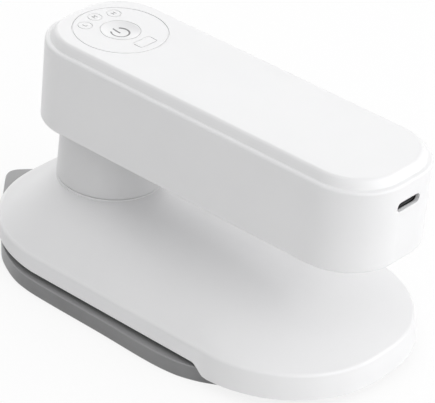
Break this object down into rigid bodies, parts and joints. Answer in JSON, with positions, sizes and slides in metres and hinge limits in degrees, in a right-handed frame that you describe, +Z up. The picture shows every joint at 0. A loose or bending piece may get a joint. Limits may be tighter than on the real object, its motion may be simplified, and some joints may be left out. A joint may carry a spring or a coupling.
{
  "type": "travel steam iron",
  "caption": "Compact cordless travel steam iron with a boat-shaped soleplate, a domed base and a bar handle that swivels on a round neck.",
  "frame": {"origin": "centre of the bounding box on the surface that the iron stands on", "axes": "+Z up, +X from the soleplate's nose to its heel, where the charging socket is, and +Y to the right of the nose seen from above the heel"},
  "size_m": [0.1504, 0.082, 0.0722],
  "materials": {
    "white_plastic": "satin white moulded plastic",
    "sole_coating": "grey non-stick coating, satin",
    "cast_aluminium": "as cast",
    "steel": "plated steel",
    "port_metal": "stamped stainless steel",
    "dark_plastic": "heat-resistant black plastic",
    "silicone": "grey silicone",
    "tank_plastic": "pale translucent plastic",
    "circuit_board": "green solder mask",
    "cell_wrap": "blue shrink sleeve",
    "lens": "diffusing light guide",
    "window": "smooth clear-topped window"
  },
  "bodies": {
    "base": {"soleplate": "sole_coating", "steam_chamber": "cast_aluminium", "chamber_seal": "silicone", "chamber_cover": "steel", "heating_element": "steel", "insulating_frame": "dark_plastic", "frame_screw_1": "steel", "frame_screw_2": "steel", "frame_screw_3": "steel", "frame_screw_4": "steel", "thermostat": "steel", "thermal_fuse": "steel", "terminal_block": "dark_plastic", "base_cover": "white_plastic", "water_tank": "tank_plastic", "tank_floor": "tank_plastic", "water_pump": "dark_plastic", "tank_hose": "silicone", "chamber_hose": "silicone", "swivel_socket": "dark_plastic", "swivel_washer": "steel"},
    "handle": {"retaining_clip": "steel", "neck_column": "white_plastic", "handle_shell": "white_plastic", "top_cover": "white_plastic", "control_panel": "white_plastic", "indicator_lens_1": "lens", "indicator_lens_2": "lens", "indicator_lens_3": "lens", "display_window": "window", "control_board": "circuit_board", "tact_switch": "dark_plastic", "battery_cradle": "dark_plastic", "battery_cell_1": "cell_wrap", "battery_cell_2": "cell_wrap", "control_lead": "dark_plastic", "charging_port": "port_metal", "charge_board": "circuit_board", "neck_screw_1": "steel", "neck_screw_2": "steel", "neck_screw_3": "steel", "neck_screw_4": "steel"},
    "button": {"power_button": "white_plastic"},
    "plug": {"filler_plug": "silicone"}
  },
  "joints": [
    {"name": "handle_swivel", "type": "hinge", "parent": "base", "child": "handle", "pos_m": [-0.03355, 0, 0.0233], "axis": [0, 0, 1], "range_deg": [0, 180]},
    {"name": "power_button_press", "type": "slide", "parent": "handle", "child": "button", "axis": [0, 0, -1], "range_m": [0, 0.0006], "stiffness_N_per_m": 1500},
    {"name": "filler_plug_pull", "type": "slide", "parent": "base", "child": "plug", "axis": [0.1212, 0.137, 0.9831], "range_m": [0, 0.008]}
  ]
}
